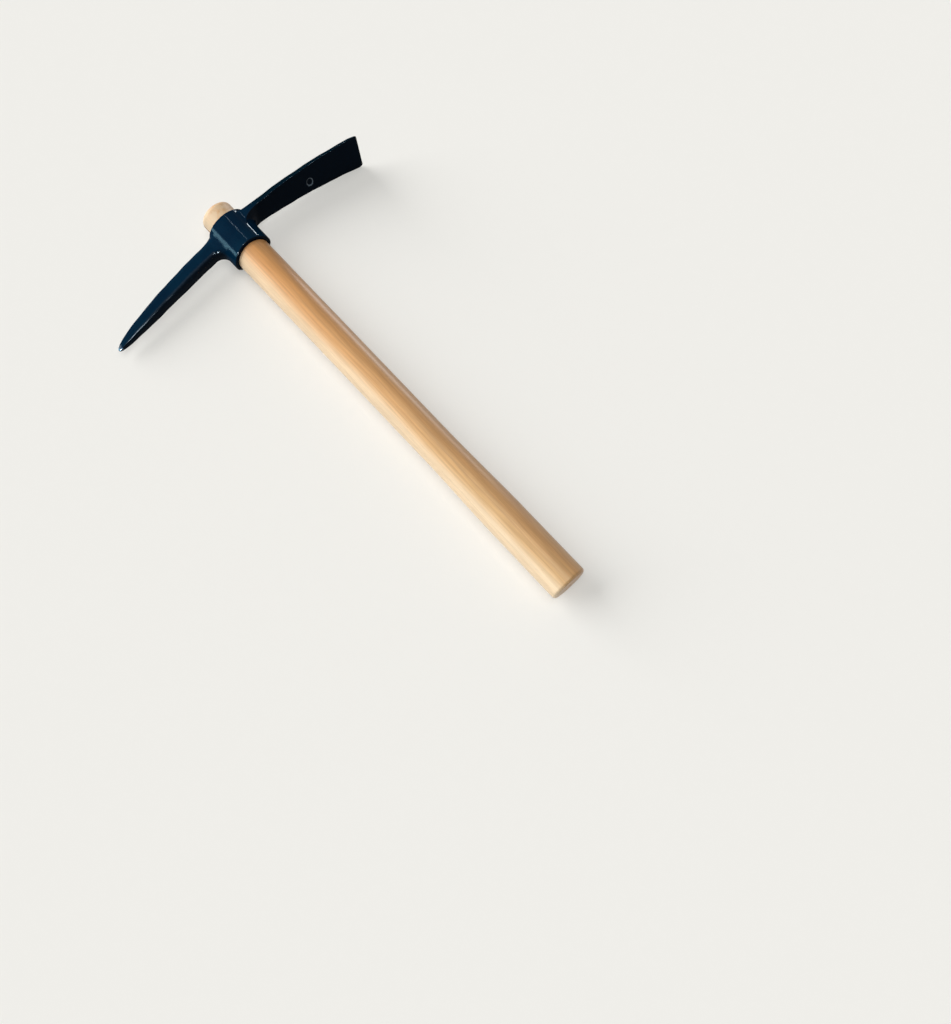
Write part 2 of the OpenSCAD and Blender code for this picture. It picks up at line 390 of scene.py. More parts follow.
def fillet_steps(radius):
    """Distances from the collar at even turns round a fillet, from its far end to the collar."""
    return radius * (1 - np.cos(after(math.pi / 2, 0, FILLET_ROWS)))


def shoulder_share(head, q):
    """Share of an arm's rise at the distance q from the collar: a parabola from 0 up to 1 at the collar."""
    return np.clip(1 - q / head.shoulder, 0, 1) ** 2


def half_collar(head, x, z):
    """Rows that spread from an arm's root over its half of the collar, out to the rims and the cheeks.

    Straight lines on the unrolled collar join the last ring of the arm to the border of the half."""
    across, up = ring_square()
    turn = np.arcsin(np.clip(z / COLLAR_RADIUS, -1, 1))
    border_turn = up * math.pi / 2
    border_low = low_rim(head, COLLAR_RADIUS * np.sin(border_turn)) - head.low_rim
    border_x = mix(head.top_rim - head.eye_length / 2, border_low, (across + 1) / 2)
    share = column(after(0, 1, COLLAR_ROWS) ** COLLAR_CROWDING)
    angle = mix(turn, border_turn, share)
    return np.stack(
        [mix(x, border_x, share), COLLAR_RADIUS * np.cos(angle), COLLAR_RADIUS * np.sin(angle)], -1
    )


def with_collar(head, x, y, z):
    """The rings of an arm, and after them the rows of its half of the collar."""
    return np.concatenate([np.stack([x, y, z], -1), half_collar(head, x[-1], z[-1])])


def arm_line(rise, drop, bow, u):
    """Place along the handle of an arm's line at the share u of its reach: part straight slope, part bend."""
    return mix(-rise, drop, (1 - bow) * u + bow * u * u)


def pick_grid(head):
    """The pick from its point to the collar's cheeks: rounded squares carried along a bent line.

    The half side follows a full ellipse to the point. Fillets widen the last rings before the collar."""
    reach = head.pick_reach - COLLAR_RADIUS
    turn = np.linspace(0, math.pi / 2, ARM_ROWS + 1)
    outer = reach - (reach - head.pick_fillet) * (1 - np.cos(turn))
    q = column(np.concatenate([outer, fillet_steps(head.pick_fillet)]))
    u = (COLLAR_RADIUS + q) / head.pick_reach
    half = head.pick_side / 2 * np.maximum(1 - u**PICK_FULLNESS, 0) ** (1 / PICK_FULLNESS)
    middle = arm_line(head.pick_rise, head.pick_drop, PICK_BOW_SHARE, u)
    grow = flare(q, head.pick_side_fillet)
    x, z = rounded_section(
        middle - half - head.pick_top_rise * shoulder_share(head, q),
        middle + half + flare(q, head.pick_fillet),
        half + grow,
        PICK_ARRIS_SHARE * half + grow / 2,
    )
    return with_collar(head, x, wrap(q, z, head.pick_fillet), z) * np.array([1, -1, 1])


def blade_grid(head):
    """The blade from its edge to the collar's cheeks: wide rounded bars with a crowned top on a bent line.

    The underside is flat across, with a fillet to the collar. The top bevels down to the edge, whose end
    is a half round. Quarter circles round the edge's two corners."""
    reach = head.blade_reach - COLLAR_RADIUS
    nose = head.edge / 2
    turn = np.linspace(0, math.pi / 2, END_ROWS + 1)
    tip = nose * (1 - np.cos(turn))
    corner = after(nose, head.blade_low_corner, 2 * END_ROWS)
    face = after(head.blade_low_corner, head.bevel, END_ROWS)
    body = after(head.bevel, reach - head.blade_low_fillet, ARM_ROWS)
    beside = np.linspace(-MARK_REACH, MARK_REACH, MARK_ROWS) * MARK_HALF[0]
    mark = head.blade_reach - MARK_PLACE[0] + beside
    body = np.sort(np.concatenate([body, mark]))
    ahead = np.concatenate([tip, corner, face, body, reach - fillet_steps(head.blade_low_fillet)])
    q = column(reach - ahead)
    ahead = column(ahead)
    u = (COLLAR_RADIUS + q) / head.blade_reach
    spread = u * (1 + BLADE_FLARE_SHARE * (1 - u))
    inset, low_inset = flare(ahead, head.blade_corner), flare(ahead, head.blade_low_corner)
    half = mix(head.blade_root_width, head.edge_width, spread) / 2 + flare(q, head.blade_fillet)
    half = half - (inset + low_inset) / 2
    bevel = np.clip(ahead / head.bevel, 0, 1)
    shoulder = shoulder_share(head, q)
    thick = mix(head.edge, mix(head.blade_middle, head.blade_end, u), bevel) + head.blade_top_rise * shoulder
    side = mix(head.edge, mix(head.blade_side, head.blade_end, u), bevel)
    side = mix(side, thick, BLADE_SIDE_SHARE * shoulder)
    crown = thick - side
    round_end = np.sqrt(np.maximum(nose**2 - np.maximum(nose - ahead, 0) ** 2, 0)) / nose
    low = arm_line(head.blade_rise, head.blade_drop, 1, u)
    middle = low - side / 2
    x, z = rounded_section(
        middle - side / 2 * round_end,
        middle + side / 2 * round_end + flare(q, head.blade_low_fillet),
        half,
        np.minimum(head.blade_arris + flare(q, head.blade_fillet) / 2, BLADE_ARRIS_SHARE * side * round_end),
    )
    across, _ = ring_square()
    x = x - crown * np.clip(-across, 0, 1) * (1 - np.clip(z / half, -1, 1) ** 2) ** BLADE_CROWN_POWER
    z = z + (low_inset - inset) / 2
    return with_collar(head, x, wrap(q, z, head.blade_low_fillet), z)


def eye_grid(head):
    """The rims and the bore: one profile carried round the handle's axis, from the lower rim to the top.

    Rounded lower rim, flat lower face, tapered bore, flat top face, rounded top rim."""
    turn = np.linspace(-math.pi / 2, 1.5 * math.pi, 2 * FACE_STEPS, endpoint=False)
    quarter = column(np.linspace(0, math.pi / 2, RIM_ROWS + 1))
    fall, rise = 1 - np.sin(quarter), 1 - np.cos(quarter)
    share = column(np.linspace(0, 1, BORE_ROWS + 1)[1:-1])
    rim = COLLAR_RADIUS - head.low_rim * rise
    mouth = head.bore_low + head.bore_rim * fall
    bore_end = low_rim(head, head.bore_low * np.sin(turn)) - head.bore_rim
    top = -head.eye_length / 2 + 0 * turn
    x, radius = joined((
        (low_rim(head, rim * np.sin(turn)) - head.low_rim * fall, rim),
        (low_rim(head, mouth * np.sin(turn)) - head.bore_rim * rise, mouth),
        (mix(bore_end, top + head.bore_rim, share), mix(head.bore_low, head.bore_top, share)),
        (top + head.bore_rim * fall, head.bore_top + head.bore_rim * rise),
        (top + head.top_rim * rise, COLLAR_RADIUS - head.top_rim * fall),
    ))
    return np.stack([x, radius * np.cos(turn), radius * np.sin(turn)], -1)


def hammered(head, points):
    """Moves the points of the arms by slow waves, none on the collar.

    The faces shift along the handle, and the pick's sides move inwards only."""
    x, y, z = points[..., 0], points[..., 1], points[..., 2]
    depth = head.waviness * ease((np.abs(y) - COLLAR_RADIUS * WAVES_START) / COLLAR_RADIUS)
    inward = (y < 0) * (1 + waves(SIDE_WAVES, y, x))
    narrowed = 1 - depth * inward / head.pick_side
    return np.stack([x + depth * waves(FACE_WAVES, y, z), y, z * narrowed], -1)


def punched(head, points):
    """Sinks a plain oval mark with a level bottom into the underside of the blade."""
    across, _ = ring_square()
    underside = across == 1
    sunk = np.zeros_like(points)
    sunk[..., 0] = underside * ease((MARK_WALL_END - mark_distance(points)) / MARK_WALL)
    return points - head.mark_depth * sunk


def mark_distance(points):
    """Distance from the middle of the punch mark, where 1 is its rim."""
    y, z = points[..., 1], points[..., 2]
    return np.hypot((y - MARK_PLACE[0]) / MARK_HALF[0], (z - MARK_PLACE[1]) / MARK_HALF[1])


def worn_share(head, points):
    """How worn the enamel is: most at the pick's point, some on the mark's rim, none on the rest."""
    point = 1 - (head.pick_reach + points[:, 1]) / WORN_POINT
    ring = WORN_RING_SHARE - WORN_RING_FADE * np.abs(mark_distance(points) - WORN_RING)
    return np.clip(np.maximum(point, ring * (points[:, 0] > MARK_UNDERSIDE)), 0, 1)


class PICKAXE_OT_head(bpy.types.Operator):
    """Forge the head: collar, pick and blade in one skin"""

    bl_idname = "pickaxe.head"
    bl_label = "Forge head"

    def execute(self, context):
        scene = context.scene
        head = scene.pickaxe_head
        grids = [
            hammered(head, pick_grid(head)),
            hammered(head, punched(head, blade_grid(head))),
            eye_grid(head),
        ]
        piece = new_piece("forged_head", grids, scene)
        wear = worn_share(head, stand(mesh_points(piece.data), scene))
        point_values(piece.data, "wear", wear)
        piece.data.materials.append(blue_enamel(head))
        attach(piece, BODY)
        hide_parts("pick_head")
        return {"FINISHED"}


# Handle

ROUND_ROWS, FLAT_ROWS, STEM_ROWS, EYE_ROWS, NECK_ROWS, SWELL_ROWS, GRIP_ROWS = 12, 7, 9, 13, 109, 43, 33
# Radius of the first ring on the top end
TOP_RING = 0.002
# Rings of the lathe's centre mark, from its rim to its middle
LATHE_RINGS = 0.0012 * np.array([1.7, 1.3, 1, 0.5, 0])
# Waves of the sanded surface, and the lengths over which they fade in below the head and out at the butt
SANDED_WAVES = ((38, 2, 0, 10 / 21), (85, -3, 1, 7 / 21), (19, 1, 2, 4 / 21))
HEAD_FADE, BUTT_FADE = 0.03, 0.02
# Edges that turn by more than this stay sharp
SHARP_TURN = math.radians(40)


def handle_profile(handle, head):
    """Place along the handle from the eye's middle, and the radius there.

    From the top end: flat, rounding, stem, taper in the eye, neck, smooth swell, grip, rounding, flat and
    the lathe's centre mark."""
    middle = eye_middle(handle, head)
    top, butt = HANDLE_TOP - middle, HANDLE_BUTT - middle
    eye_top, eye_low = -head.eye_length / 2, head.eye_length / 2 + head.lug
    swell = butt - handle.grip_length - handle.swell_length
    grip = swell + handle.swell_length
    quarter = np.linspace(0, math.pi / 2, ROUND_ROWS + 1)
    top_flat, butt_flat = handle.top_radius - handle.top_round, GRIP_RADIUS - handle.butt_round
    swell_x = after(swell, grip, SWELL_ROWS)
    stretches = (
        ([top], [0]),
        (np.full(FLAT_ROWS, top), np.linspace(TOP_RING, top_flat, FLAT_ROWS, endpoint=False)),
        (top + handle.top_round * (1 - np.cos(quarter)), top_flat + handle.top_round * np.sin(quarter)),
        (after(top + handle.top_round, eye_top, STEM_ROWS), np.full(STEM_ROWS, handle.top_radius)),
        (after(eye_top, eye_low, EYE_ROWS), after(handle.top_radius, handle.neck_radius, EYE_ROWS)),
        (after(eye_low, swell, NECK_ROWS), np.full(NECK_ROWS, handle.neck_radius)),
        (swell_x, mix(handle.neck_radius, GRIP_RADIUS, ease((swell_x - swell) / handle.swell_length))),
        (after(grip, butt - handle.butt_round, GRIP_ROWS), np.full(GRIP_ROWS, GRIP_RADIUS)),
        (
            butt - handle.butt_round * (1 - np.sin(quarter[1:])),
            butt_flat + handle.butt_round * np.cos(quarter[1:]),
        ),
        (np.full(FLAT_ROWS, butt), after(butt_flat, LATHE_RINGS[0], FLAT_ROWS)),
        (butt - handle.lathe_mark * ease(1 - LATHE_RINGS[1:] / LATHE_RINGS[0]), LATHE_RINGS[1:]),
    )
    return joined(stretches)


def handle_grid(handle, head):
    """The profile carried round the axis, thinned by slow waves between the head and the butt."""
    x, radius = (column(values) for values in handle_profile(handle, head))
    turn = np.linspace(0, 2 * math.pi, handle.around, endpoint=False)
    to_butt = HANDLE_BUTT - eye_middle(handle, head) - x
    depth = handle.waviness * ease((x - head.eye_length) / HEAD_FADE) * ease(to_butt / BUTT_FADE)
    radius = radius - depth * (1 + waves(SANDED_WAVES, x, turn))
    return np.stack([x + 0 * turn, radius * np.cos(turn), radius * np.sin(turn)], -1)


def wedge_cutter(name, scene, length_x, head_t, tip_t, width, place_y, upright):
    """A long-headed wedge that cuts a slot: four-cornered rings from past the top end to its point."""
    handle, head, gap = scene.pickaxe_handle, scene.pickaxe_head, scene.pickaxe_wedges.gap
    top = HANDLE_TOP - eye_middle(handle, head)
    past = handle.top_round
    x = column([top - past, top - past, top, top + length_x + gap, top + length_x + gap])
    thick = column([0, head_t / 2 + gap, head_t / 2 + gap, tip_t / 2 + gap, 0])
    wide = column([0, 1, 1, 1, 0]) * (width / 2 + gap)
    across, side = np.array([1, 1, -1, -1]), np.array([1, -1, -1, 1])
    flat, tall = wide * across, thick * side
    y, z = (tall, flat) if upright else (flat, tall)
    return new_piece(name, [np.stack([x + 0 * flat, y + place_y, z], -1)], scene)


def cut(piece, cutter):
    """Takes the cutter's solid out of the piece and removes the cutter."""
    slot = piece.modifiers.new("slot", "BOOLEAN")
    slot.operation, slot.solver, slot.object = "DIFFERENCE", "EXACT", cutter
    graph = bpy.context.evaluated_depsgraph_get()
    cut_mesh = bpy.data.meshes.new_from_object(piece.evaluated_get(graph))
    piece.modifiers.clear()
    piece.data = cut_mesh
    bpy.data.objects.remove(cutter)


class PICKAXE_OT_handle(bpy.types.Operator):
    """Turn the handle and saw the slots for its wedges"""

    bl_idname = "pickaxe.handle"
    bl_label = "Turn handle"

    def execute(self, context):
        scene = context.scene
        handle, head, wedges = scene.pickaxe_handle, scene.pickaxe_head, scene.pickaxe_wedges
        piece = new_piece("turned_handle", [handle_grid(handle, head)], scene)
        cut(piece, wedge_cutter(
            "kerf", scene, wedges.wood_length, wedges.wood_head, wedges.wood_tip,
            width=2 * COLLAR_RADIUS, place_y=0, upright=False,
        ))
        for side in (-1, 1):
            cut(piece, wedge_cutter(
                "cross_slot", scene, wedges.steel_length, wedges.steel_head, wedges.steel_tip,
                width=wedges.steel_width, place_y=side * wedges.steel_place, upright=True,
            ))
        piece.data.shade_smooth()
        piece.data.set_sharp_from_angle(angle=SHARP_TURN)
        piece.data.materials.clear()
        piece.data.materials.append(varnished_wood(handle))
        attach(piece, BODY)
        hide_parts("handle")
        return {"FINISHED"}


class PICKAXE_OT_wedges(bpy.types.Operator):
    """Finish the wooden wedge and the two steel wedges"""

    bl_idname = "pickaxe.wedges"
    bl_label = "Finish wedges"

    def execute(self, context):
        wedges = context.scene.pickaxe_wedges
        steel = hammered_steel(wedges)
        finishes = {
            "wooden_wedge": wedge_wood(wedges),
            "pick_side_wedge": steel,
            "blade_side_wedge": steel,
        }
        for name, finish in finishes.items():
            node = frame["nodes"][name]
            node.data.materials.clear()
            node.data.materials.append(finish)
        return {"FINISHED"}


# Materials

WHITE = (1, 1, 1)
# Span that most values of a noise lie in, and the narrower one of the enamel's clouds
NOISE_SPAN, CLOUD_SPAN = (0.3, 0.7), (0.35, 0.65)
# Distances from the handle's axis over which the thick coat turns into the blade's thin one
BLADE_COAT_SPAN = (0.018, 0.034)
THICK_COAT, THIN_COAT = 0.065, 0.03
# Slope towards the grip end over which a face turned away from the light turns into painted shade
SHADE_SLOPE_SPAN = (0.2, 0.7)
# Share of chips in the wear, wear at which steel starts to show and shows most, and how much shows then
CHIP_SHARE, BARE_SPAN, BARE_SHARE = 0.8, (1.05, 1.3), 0.55
# Shift of the handle from the pith, its lean, how little the rings change along it, their width and sway
PITH_SHIFT, PITH_LEAN, PITH_STRETCH = (0, 0.047, 0.024), (0, 0.012, 0.03), (0.055, 1, 1)
RING_WIDTH, RING_SWAY = 0.0026, 0.009
# Shares of a year over which the late wood darkens, and over which it ends
LATE_SPAN, LATE_END_SPAN = (0.35, 0.93), (1.0, 0.94)
# Values of their noises over which pores, streaks and raw blotches show, and the span of the fibres
PORE_SPAN, STREAK_SPAN, BLOTCH_SPAN, FIBRE_SPAN = (0.66, 0.74), (0.42, 0.72), (0.4, 0.62), (0.25, 0.75)
# Distances from the handle's axis, counted towards the blade, over which painted shade sets in on the blade's
# side and painted light on the pick's side
SHADE_SIDE_SPAN, LIGHT_SIDE_SPAN = (-0.004, 0.006), (-0.004, -0.0145)
# Places along the handle over which the wood turns pale, and over which the raw end sets in
PALE_SPAN, RAW_SPAN = (-0.2, 0.2), (-0.206, -0.212)
# Slope along the handle over which its surface turns into end grain
END_SPAN = (0.75, 0.97)
# How much each layer hides the wood under it
RING_SHARE, STREAK_SHARE, SHADE_SIDE_SHARE, LIGHT_SIDE_SHARE = 0.3, 0.3, 0.5, 0.85
PORE_SHARE, END_SHARE, RAW_SHARE = 0.4, 0.45, 0.8
# Heights of the fibres and of the pores
FIBRE_RELIEF, PORE_RELIEF = 0.6, -0.5
# Noise over which rust shows, and how much it hides the steel
RUST_SPAN, RUST_SHARE = (0.48, 0.68), 0.7
# Brightness of the wooden wedge's dark fibres and of the paper's dark grains
WEDGE_SHADE, PAPER_SHADE = 0.55, 0.985


class Nodes:
    """The node tree of a material or a world, with one short call for each node."""

    def __init__(self, owner):
        owner.use_nodes = True
        self.tree = owner.node_tree
        self.tree.nodes.clear()

    def add(self, kind, inputs=None, **settings):
        """A new node with its settings and inputs."""
        node = self.tree.nodes.new(kind)
        for name, value in settings.items():
            setattr(node, name, value)
        for name, value in (inputs or {}).items():
            self.feed(node.inputs[name], value)
        return node

    def feed(self, socket, value):
        """Links another node's output to a socket, or sets a number, vector or colour on it."""
        if isinstance(value, bpy.types.NodeSocket):
            self.tree.links.new(value, socket)
        elif isinstance(value, (int, float)):
            socket.default_value = value
        else:
            value = tuple(value)
            socket.default_value = value + (1,) if socket.type == "RGBA" and len(value) == 3 else value

    def math(self, operation, a, b=0.0, clamp=False):
        """One operation on one or two numbers."""
        return self.add("ShaderNodeMath", {0: a, 1: b}, operation=operation, use_clamp=clamp).outputs[0]

    def seen(self):
        """1 for camera, mirror and glass rays, 0 for the rays that carry light between surfaces."""
        path = self.add("ShaderNodeLightPath")
        seen = self.math("ADD", path.outputs["Is Camera Ray"], path.outputs["Is Glossy Ray"])
        return self.math("ADD", seen, path.outputs["Is Transmission Ray"], clamp=True)


class Finish(Nodes):
    """A material's node tree, with one short call for each pattern."""

    def __init__(self, name):
        self.material = bpy.data.materials.new(name)
        super().__init__(self.material)
        coordinates = self.add("ShaderNodeTexCoord")
        self.place = coordinates.outputs["Object"]
        self.normal = coordinates.outputs["Normal"]

    def part(self, vector, axis):
        """One coordinate of a vector."""
        return self.add("ShaderNodeSeparateXYZ", {0: vector}).outputs[axis]

    def stretched(self, scale, place=None, location=(0, 0, 0), rotation=(0, 0, 0)):
        """The object's coordinates, scaled, turned and shifted."""
        inputs = {"Vector": place or self.place, "Scale": scale, "Location": location, "Rotation": rotation}
        return self.add("ShaderNodeMapping", inputs).outputs[0]

    def noise(self, scale, detail=2, rough=0.5, place=None):
        """Even noise from 0 to 1, whose grains are about one over scale apart."""
        inputs = {"Vector": place or self.place, "Scale": scale, "Detail": detail, "Roughness": rough}
        return self.add("ShaderNodeTexNoise", inputs).outputs[0]

    def grain(self, along, across, detail=2, rough=0.5):
        """Noise with one scale along the handle and another across it."""
        return self.noise(1, detail, rough, self.stretched((along, across, across)))

    def range(self, value, low, high, to_low=0.0, to_high=1.0, smooth=True):
        """The value from low to high carried over to another span."""
        inputs = {"Value": value, "From Min": low, "From Max": high, "To Min": to_low, "To Max": to_high}
        kind = "SMOOTHSTEP" if smooth else "LINEAR"
        return self.add("ShaderNodeMapRange", inputs, interpolation_type=kind).outputs[0]

    def spread(self, noise, low, high):
        """A noise carried over from its usual span to another one."""
        return self.range(noise, *NOISE_SPAN, low, high)

    def blend(self, share, a, b):
        """Colour a turning into colour b."""
        node = self.add("ShaderNodeMix", data_type="RGBA")
        for socket, value in ((node.inputs[0], share), (node.inputs[6], a), (node.inputs[7], b)):
            self.feed(socket, value)
        return node.outputs[2]

    def bump(self, height, distance, strength, normal=None):
        """The surface's direction, tilted by a height, on top of another tilt if there is one."""
        inputs = {"Height": height, "Distance": distance, "Strength": strength}
        if normal:
            inputs["Normal"] = normal
        return self.add("ShaderNodeBump", inputs).outputs[0]

    def surface(self, **inputs):
        """Principled surface on the output. Names of its sockets are written with underscores."""
        shader = self.add("ShaderNodeBsdfPrincipled", {k.replace("_", " "): v for k, v in inputs.items()})
        self.add("ShaderNodeOutputMaterial", {"Surface": shader.outputs[0]})
        return self.material


def beside_axis(span):
    """Places along Y at two distances from the handle's axis, towards the blade."""
    return [AXIS_Y + distance for distance in span]


def blue_enamel(head):
    """Glossy dark blue enamel over forged steel: clouded tone, painted shade on the faces that turn towards
    the grip end, orange peel, and steel where it is worn.
    """
    finish = Finish("blue_enamel")
    cloud = finish.range(finish.noise(38, detail=4, rough=0.6), *CLOUD_SPAN)
    paint = finish.blend(cloud, head.paint, head.paint_shade)
    on_blade = finish.range(finish.part(finish.place, "Y"), *beside_axis(BLADE_COAT_SPAN))
    paint = finish.blend(on_blade, paint, head.paint_blade)
    # Painted shade: faces turned towards the grip end, away from the light, darken to the deepest tone
    under = finish.range(finish.part(finish.normal, "X"), *SHADE_SLOPE_SPAN)
    paint = finish.blend(under, paint, head.painted_shade_under)
    wear = finish.add("ShaderNodeAttribute", attribute_name="wear").outputs["Fac"]
    chips = finish.math("MULTIPLY", finish.noise(420, detail=5, rough=0.65), CHIP_SHARE)
    bare = finish.range(finish.math("ADD", wear, chips), *BARE_SPAN, 0, BARE_SHARE)
    gloss = finish.spread(finish.noise(140, detail=3), 0.3, 0.4)
    scratched = finish.spread(finish.noise(900, detail=3, rough=0.6), 0.28, 0.45)
    peel = finish.bump(finish.noise(620, detail=2, rough=0.4), distance=0.00003, strength=0.2)
    dents = finish.bump(finish.noise(60, detail=1, rough=0.4), distance=0.0004, strength=0.07, normal=peel)
    return finish.surface(
        Base_Color=finish.blend(bare, paint, head.bare_steel),
        Metallic=bare,
        Roughness=finish.blend(bare, gloss, scratched),
        Specular_IOR_Level=0.0,
        Coat_Weight=finish.range(on_blade, 0, 1, THICK_COAT, THIN_COAT),
        Coat_Roughness=0.14,
        Normal=dents,
        Coat_Normal=dents,
    )


def varnished_wood(handle):
    """Pale hardwood under satin varnish: growth rings about a far pith, fibres, pores and end grain, with
    painted light along the side towards the pick and painted shade along the side towards the blade.
    """
    finish = Finish("varnished_wood")
    sway = finish.math("SUBTRACT", finish.grain(5, 22), 0.5)
    lift = finish.math("MULTIPLY", sway, RING_SWAY)
    shift = finish.add("ShaderNodeCombineXYZ", {"X": 0.0, "Y": lift, "Z": lift}).outputs[0]
    bent = finish.add("ShaderNodeVectorMath", {0: finish.place, 1: shift}, operation="ADD").outputs[0]
    pith = finish.stretched(PITH_STRETCH, bent, PITH_SHIFT, PITH_LEAN)
    radius = finish.add("ShaderNodeVectorMath", {0: pith}, operation="LENGTH").outputs["Value"]
    year = finish.math("FRACT", finish.math("DIVIDE", radius, RING_WIDTH))
    ring = finish.math("MULTIPLY", finish.range(year, *LATE_SPAN), finish.range(year, *LATE_END_SPAN))
    fibre = finish.grain(26, 620, detail=4, rough=0.65)
    streak = finish.grain(6, 130, detail=3, rough=0.55)
    pore = finish.range(finish.grain(210, 3300), *PORE_SPAN)
    cloud = finish.spread(finish.grain(4, 17), -0.22, 0.22)
    along = finish.part(finish.place, "X")
    grade = finish.math("ADD", finish.range(along, *PALE_SPAN, smooth=False), cloud, clamp=True)
    wood = finish.blend(grade, handle.warm, handle.pale)
    wood = finish.blend(finish.math("MULTIPLY", ring, RING_SHARE), wood, handle.late_wood_and_shade)
    wood = finish.blend(finish.range(streak, *STREAK_SPAN, 0, STREAK_SHARE), wood, handle.late_wood_and_shade)
    across = finish.part(bent, "Y")
    # Painted shade darkens the side towards the blade, away from the light
    painted_shade_side = finish.range(across, *beside_axis(SHADE_SIDE_SPAN), 0, SHADE_SIDE_SHARE)
    wood = finish.blend(painted_shade_side, wood, handle.late_wood_and_shade)
    # Painted light pales the side towards the pick, where the light falls
    painted_light_side = finish.range(across, *beside_axis(LIGHT_SIDE_SPAN), 0, LIGHT_SIDE_SHARE)
    wood = finish.blend(painted_light_side, wood, handle.painted_light_side)
    tone = finish.range(fibre, *FIBRE_SPAN, 0.86, 1.1)
    tones = finish.add("ShaderNodeCombineXYZ", {"X": tone, "Y": tone, "Z": tone}).outputs[0]
    wood = finish.add("ShaderNodeVectorMath", {0: wood, 1: tones}, operation="MULTIPLY").outputs[0]
    wood = finish.blend(finish.math("MULTIPLY", pore, PORE_SHARE), wood, handle.late_wood_and_shade)
    end = finish.range(finish.math("ABSOLUTE", finish.part(finish.normal, "X")), *END_SPAN)
    wood = finish.blend(finish.math("MULTIPLY", end, END_SHARE), wood, handle.late_wood_and_shade)
    raw = finish.range(along, *RAW_SPAN, 0, RAW_SHARE)
    blotch = finish.range(finish.noise(160, detail=3), *BLOTCH_SPAN, 1, 0.45)
    wood = finish.blend(finish.math("MULTIPLY", raw, blotch), wood, handle.raw)
    relief = finish.math(
        "ADD", finish.math("MULTIPLY", fibre, FIBRE_RELIEF), finish.math("MULTIPLY", pore, PORE_RELIEF)
    )
    return finish.surface(
        Base_Color=wood,
        Roughness=finish.spread(fibre, 0.38, 0.5),
        Specular_IOR_Level=0.25,
        Coat_Weight=0.45,
        Coat_Roughness=0.36,
        Normal=finish.bump(relief, distance=0.00008, strength=0.5),
    )


def wedge_wood(wedges):
    """Bare hardwood of the wooden wedge, with darker fibres along it and a rough grain."""
    finish = Finish("wedge_wood")
    fibre = finish.grain(60, 900, detail=4, rough=0.6)
    rough = finish.noise(1500, detail=3, rough=0.6)
    shade = tuple(WEDGE_SHADE * c for c in wedges.wood)
    return finish.surface(
        Base_Color=finish.blend(finish.spread(fibre, 0, 0.6), wedges.wood, shade),
        Roughness=finish.spread(rough, 0.55, 0.75),
        Normal=finish.bump(rough, distance=0.00012, strength=0.6),
    )


def hammered_steel(wedges):
    """Bare mild steel of the cross wedges: hammer dents, scratches and thin rust."""
    finish = Finish("wedge_steel")
    rust = finish.range(finish.noise(700, detail=5, rough=0.7), *RUST_SPAN)
    dent = finish.add("ShaderNodeTexVoronoi", {"Vector": finish.place, "Scale": 420.0}).outputs[0]
    scratch = finish.grain(300, 4000, detail=3, rough=0.6)
    return finish.surface(
        Base_Color=finish.blend(finish.math("MULTIPLY", rust, RUST_SHARE), wedges.steel, wedges.rust),
        Metallic=finish.range(rust, 0, 1, 1.0, 0.25),
        Roughness=finish.spread(scratch, 0.3, 0.5),
        Normal=finish.bump(dent, distance=0.0003, strength=0.4),
    )


def pale_floor(stage):
    """Matt pale paper with a faint unevenness, whose shadow is thinned for the rays that show it."""
    finish = Finish("pale_floor")
    shade = tuple(PAPER_SHADE * c for c in stage.floor)
    tooth = finish.blend(finish.noise(90, detail=3), stage.floor, shade)
    paper = finish.add("ShaderNodeBsdfDiffuse", {"Color": tooth}).outputs[0]
    even = finish.add("ShaderNodeEmission", {"Color": stage.backdrop, "Strength": 1.0}).outputs[0]
    share = finish.math("MULTIPLY", finish.seen(), stage.evenness)
    both = finish.add("ShaderNodeMixShader", {0: share, 1: paper, 2: even}).outputs[0]
    finish.add("ShaderNodeOutputMaterial", {"Surface": both})
    return finish.material


# Stage

FLOOR_RINGS, FLOOR_SIDES, FLOOR_GROWTH = 5, 96, 4.0
CLIP_START, CLIP_END = 0.01, 200
# Directions of the suns, their widths in degrees and their strengths
KEY_DIRECTION, KEY_WIDTH, KEY_STRENGTH, SHEEN_STRENGTH = (-0.78, -0.46, 0.46), 60, 3.5, 1.4
OVERHEAD_DIRECTION, OVERHEAD_WIDTH, OVERHEAD_STRENGTH = (0.1, 0.0, 1.0), 34, 1.15
SKY_TINT = (0.7, 0.88, 1.0)
# Panels that show in the gloss of one piece: piece, name, place, width and height, radiance, tint
GLINTS = (
    ("forged_head", "head_window", (-0.8, -1.1, 0.15), (0.5, 0.32), 42, (0.45, 0.87, 1.0)),
    ("forged_head", "collar_strip", (-0.74, 1.05, 0.165), (0.22, 0.05), 420, (0.82, 0.93, 1.0)),
    ("forged_head", "middle_strip", (-0.83, 0.39, 1.2), (0.05, 0.015), 420, SKY_TINT),
    ("forged_head", "spark", (0.59, -0.2, 1.06), (0.24, 0.24), 300, SKY_TINT),
    ("forged_head", "root_spark", (0.54, -0.92, 0.6), (0.24, 0.24), 900, SKY_TINT),
    ("turned_handle", "grip_window", (-0.1, -1.1, 0.22), (0.8, 0.42), 2.2, (0.88, 0.96, 1.0)),
    ("turned_handle", "butt_window", (0.12, -1.1, 0.14), (0.08, 0.24), 20, (0.8, 1.0, 0.97)),
    ("turned_handle", "grip_strip", (-0.45, 1.05, 0.05), (0.6, 0.03), 75, WHITE),
)


